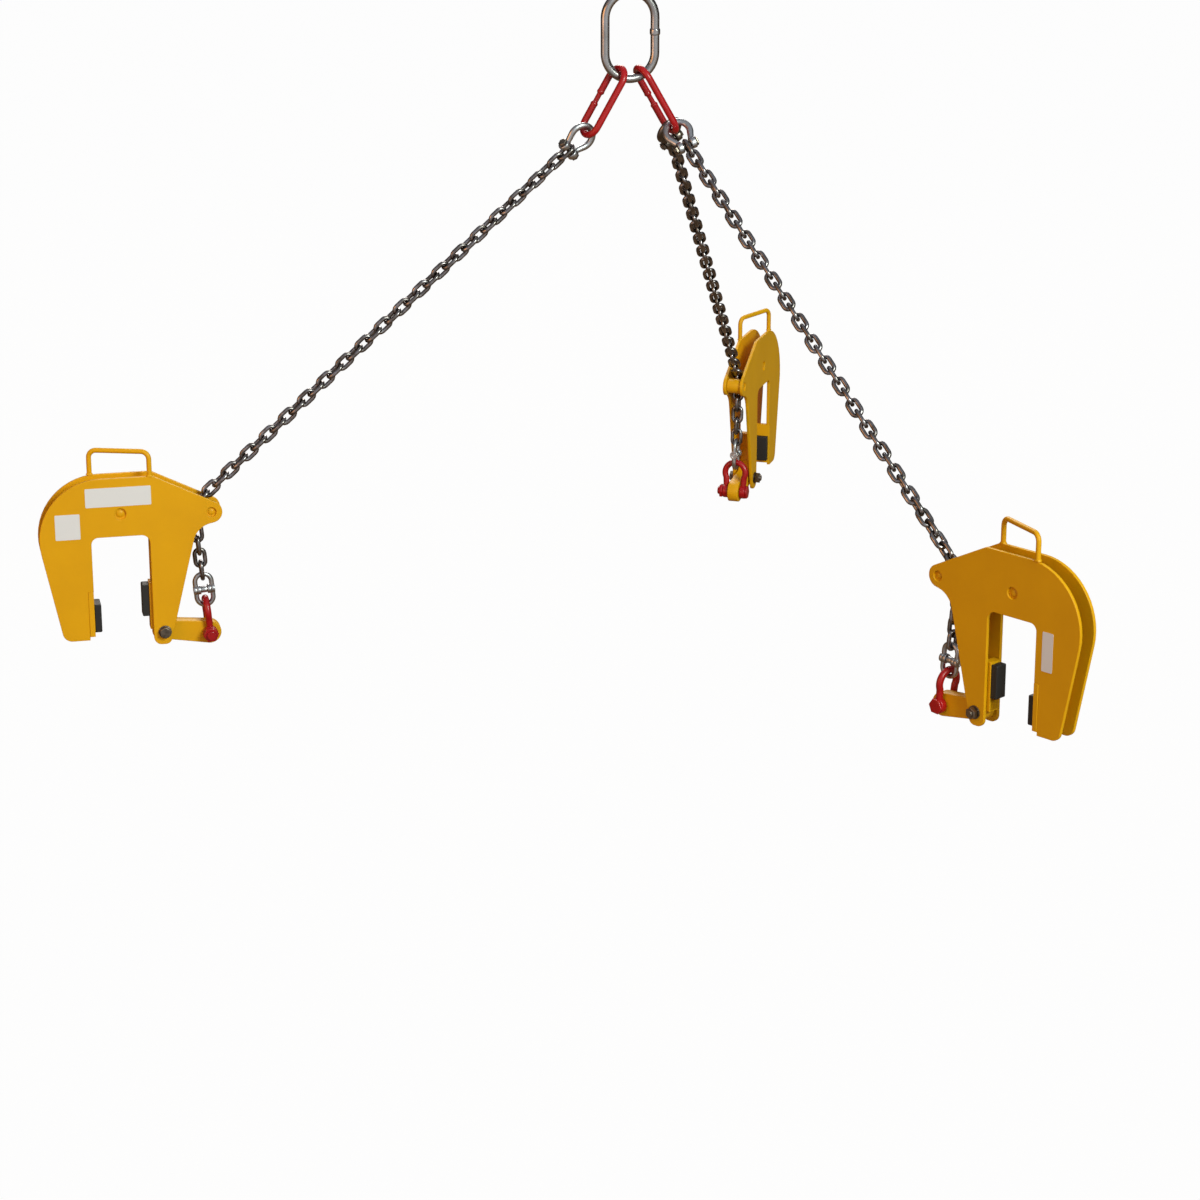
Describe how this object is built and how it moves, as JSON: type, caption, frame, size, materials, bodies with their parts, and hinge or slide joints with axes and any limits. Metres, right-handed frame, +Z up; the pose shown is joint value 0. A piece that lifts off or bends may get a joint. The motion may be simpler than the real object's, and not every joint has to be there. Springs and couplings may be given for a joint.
{
  "type": "manhole ring lifter",
  "caption": "Chain-legged lifter for concrete manhole rings: master link, sub-links, chains and self-gripping clamps that hook over the ring's wall",
  "frame": {"origin": "where the crane's hook seats: the inner top of the master link, on its centreline", "axes": "+Z up; the rear clamp stands towards +Y, the left one towards azimuth 210 degrees, the right one towards -30 degrees"},
  "size_m": [1.9156, 1.6589, 1.1701],
  "materials": {
    "master_steel": "bright forged alloy steel",
    "red_paint": "deep glossy red",
    "shackle_zinc": "bright zinc plating",
    "chain_steel": "dark oiled alloy chain",
    "yellow_paint": "glossy yellow enamel",
    "bolt_zinc": "zinc-plated fastener",
    "pad_rubber": "moulded black rubber"
  },
  "bodies": {
    "head": {"master_link": "master_steel"},
    "sub_left": {"sublink_left": "red_paint"},
    "sub_right": {"sublink_right": "red_paint"},
    "shackle_a": {"top_shackle_bow_a": "shackle_zinc", "top_shackle_bolt_a": "bolt_zinc"},
    "run_a": {"chain_run_a": "chain_steel"},
    "drop_a": {"chain_drop_a": "chain_steel", "coupling_link_a": "shackle_zinc", "coupling_pin_a": "bolt_zinc"},
    "clamp_a": {"side_plates_a": "yellow_paint", "carry_handle_a": "yellow_paint", "nose_pin_a": "yellow_paint", "mid_spacer_a": "yellow_paint", "backing_bar_a": "yellow_paint", "outer_pad_a": "pad_rubber", "pivot_bolt_a": "bolt_zinc"},
    "roller_a": {"nose_roller_a": "yellow_paint"},
    "lever_a": {"grip_lever_a": "yellow_paint", "jaw_pad_a": "pad_rubber"},
    "grip_a": {"grip_shackle_bow_a": "red_paint", "grip_shackle_bolt_a": "bolt_zinc"},
    "shackle_b": {"top_shackle_bow_b": "shackle_zinc", "top_shackle_bolt_b": "bolt_zinc"},
    "run_b": {"chain_run_b": "chain_steel"},
    "drop_b": {"chain_drop_b": "chain_steel", "coupling_link_b": "shackle_zinc", "coupling_pin_b": "bolt_zinc"},
    "clamp_b": {"side_plates_b": "yellow_paint", "carry_handle_b": "yellow_paint", "nose_pin_b": "yellow_paint", "mid_spacer_b": "yellow_paint", "backing_bar_b": "yellow_paint", "outer_pad_b": "pad_rubber", "pivot_bolt_b": "bolt_zinc"},
    "roller_b": {"nose_roller_b": "yellow_paint"},
    "lever_b": {"grip_lever_b": "yellow_paint", "jaw_pad_b": "pad_rubber"},
    "grip_b": {"grip_shackle_bow_b": "red_paint", "grip_shackle_bolt_b": "bolt_zinc"},
    "shackle_c": {"top_shackle_bow_c": "shackle_zinc", "top_shackle_bolt_c": "bolt_zinc"},
    "run_c": {"chain_run_c": "chain_steel"},
    "drop_c": {"chain_drop_c": "chain_steel", "coupling_link_c": "shackle_zinc", "coupling_pin_c": "bolt_zinc"},
    "clamp_c": {"side_plates_c": "yellow_paint", "carry_handle_c": "yellow_paint", "nose_pin_c": "yellow_paint", "mid_spacer_c": "yellow_paint", "backing_bar_c": "yellow_paint", "outer_pad_c": "pad_rubber", "pivot_bolt_c": "bolt_zinc"},
    "roller_c": {"nose_roller_c": "yellow_paint"},
    "lever_c": {"grip_lever_c": "yellow_paint", "jaw_pad_c": "pad_rubber"},
    "grip_c": {"grip_shackle_bow_c": "red_paint", "grip_shackle_bolt_c": "bolt_zinc"}
  },
  "joints": [
    {"name": "sub_swing_left", "type": "hinge", "parent": "head", "child": "sub_left", "pos_m": [0, 0, -0.101], "axis": [0.5, -0.866, 0], "range_deg": [-6, 6]},
    {"name": "sub_swing_right", "type": "hinge", "parent": "head", "child": "sub_right", "pos_m": [0, 0, -0.101], "axis": [0.5, -0.866, 0], "range_deg": [-6, 6]},
    {"name": "leg_swing_a", "type": "hinge", "parent": "sub_left", "child": "shackle_a", "pos_m": [-0.07273, -0.03931, -0.2436], "axis": [0.5031, -0.8642, 0], "range_deg": [0, 26]},
    {"name": "chain_sway_a", "type": "hinge", "parent": "shackle_a", "child": "run_a", "pos_m": [-0.09911, -0.05466, -0.27068], "axis": [0.3571, 0.6192, -0.6993], "range_deg": [-6, 6]},
    {"name": "clamp_tilt_a", "type": "hinge", "parent": "run_a", "child": "clamp_a", "pos_m": [-0.67853, -0.39175, -0.902], "axis": [0.5031, -0.8642, 0], "range_deg": [-26, 0]},
    {"name": "drop_swing_a", "type": "hinge", "parent": "run_a", "child": "drop_a", "pos_m": [-0.70164, -0.40509, -0.88917], "axis": [0.5031, -0.8642, 0], "range_deg": [-26, 0]},
    {"name": "roller_spin_a", "type": "hinge", "parent": "clamp_a", "child": "roller_a", "pos_m": [-0.67853, -0.39175, -0.902], "axis": [0.5, -0.866, 0], "continuous": true},
    {"name": "lever_pivot_a", "type": "hinge", "parent": "clamp_a", "child": "lever_a", "pos_m": [-0.75864, -0.438, -1.123], "axis": [0.5, -0.866, 0], "range_deg": [-9.1, 0]},
    {"name": "grip_swing_a", "type": "hinge", "parent": "lever_a", "child": "grip_a", "pos_m": [-0.68676, -0.3965, -1.13306], "axis": [0.5, -0.866, 0], "range_deg": [0, 9.1]},
    {"name": "leg_swing_b", "type": "hinge", "parent": "sub_right", "child": "shackle_b", "pos_m": [0.07064, 0.03171, -0.23185], "axis": [0.571, 0.821, 0], "range_deg": [0, 26]},
    {"name": "chain_sway_b", "type": "hinge", "parent": "shackle_b", "child": "run_b", "pos_m": [0.10366, 0.01085, -0.26409], "axis": [-0.7571, -0.5431, -0.3631], "range_deg": [-6, 6]},
    {"name": "clamp_tilt_b", "type": "hinge", "parent": "run_b", "child": "clamp_b", "pos_m": [0.67853, -0.39175, -0.902], "axis": [0.571, 0.821, 0], "range_deg": [-26, 0]},
    {"name": "drop_swing_b", "type": "hinge", "parent": "run_b", "child": "drop_b", "pos_m": [0.70164, -0.40509, -0.88917], "axis": [0.571, 0.821, 0], "range_deg": [-26, 0]},
    {"name": "roller_spin_b", "type": "hinge", "parent": "clamp_b", "child": "roller_b", "pos_m": [0.67853, -0.39175, -0.902], "axis": [0.5, 0.866, 0], "continuous": true},
    {"name": "lever_pivot_b", "type": "hinge", "parent": "clamp_b", "child": "lever_b", "pos_m": [0.75864, -0.438, -1.123], "axis": [0.5, 0.866, 0], "range_deg": [-9.1, 0]},
    {"name": "grip_swing_b", "type": "hinge", "parent": "lever_b", "child": "grip_b", "pos_m": [0.68676, -0.3965, -1.13306], "axis": [0.5, 0.866, 0], "range_deg": [0, 9.1]},
    {"name": "leg_swing_c", "type": "hinge", "parent": "sub_right", "child": "shackle_c", "pos_m": [0.05993, 0.04381, -0.23358], "axis": [-0.997, -0.077, 0], "range_deg": [0, 26]},
    {"name": "chain_sway_c", "type": "hinge", "parent": "shackle_c", "child": "run_c", "pos_m": [0.05621, 0.08169, -0.26713], "axis": [-0.6312, -0.5312, -0.5652], "range_deg": [-6, 6]},
    {"name": "clamp_tilt_c", "type": "hinge", "parent": "run_c", "child": "clamp_c", "pos_m": [0, 0.7835, -0.902], "axis": [-0.997, -0.077, 0], "range_deg": [-26, 0]},
    {"name": "drop_swing_c", "type": "hinge", "parent": "run_c", "child": "drop_c", "pos_m": [0, 0.81018, -0.88917], "axis": [-0.997, -0.077, 0], "range_deg": [-26, 0]},
    {"name": "roller_spin_c", "type": "hinge", "parent": "clamp_c", "child": "roller_c", "pos_m": [0, 0.7835, -0.902], "axis": [-1, 0, 0], "continuous": true},
    {"name": "lever_pivot_c", "type": "hinge", "parent": "clamp_c", "child": "lever_c", "pos_m": [0, 0.876, -1.123], "axis": [-1, 0, 0], "range_deg": [-9.1, 0]},
    {"name": "grip_swing_c", "type": "hinge", "parent": "lever_c", "child": "grip_c", "pos_m": [0, 0.793, -1.13306], "axis": [-1, 0, 0], "range_deg": [0, 9.1]}
  ],
  "couplings": [
    {"joint": "clamp_tilt_a", "follows": "leg_swing_a", "ratio": -1},
    {"joint": "drop_swing_a", "follows": "leg_swing_a", "ratio": -1},
    {"joint": "lever_pivot_a", "follows": "leg_swing_a", "ratio": -0.35},
    {"joint": "grip_swing_a", "follows": "leg_swing_a", "ratio": 0.35},
    {"joint": "clamp_tilt_b", "follows": "leg_swing_b", "ratio": -1},
    {"joint": "drop_swing_b", "follows": "leg_swing_b", "ratio": -1},
    {"joint": "lever_pivot_b", "follows": "leg_swing_b", "ratio": -0.35},
    {"joint": "grip_swing_b", "follows": "leg_swing_b", "ratio": 0.35},
    {"joint": "clamp_tilt_c", "follows": "leg_swing_c", "ratio": -1},
    {"joint": "drop_swing_c", "follows": "leg_swing_c", "ratio": -1},
    {"joint": "lever_pivot_c", "follows": "leg_swing_c", "ratio": -0.35},
    {"joint": "grip_swing_c", "follows": "leg_swing_c", "ratio": 0.35}
  ]
}
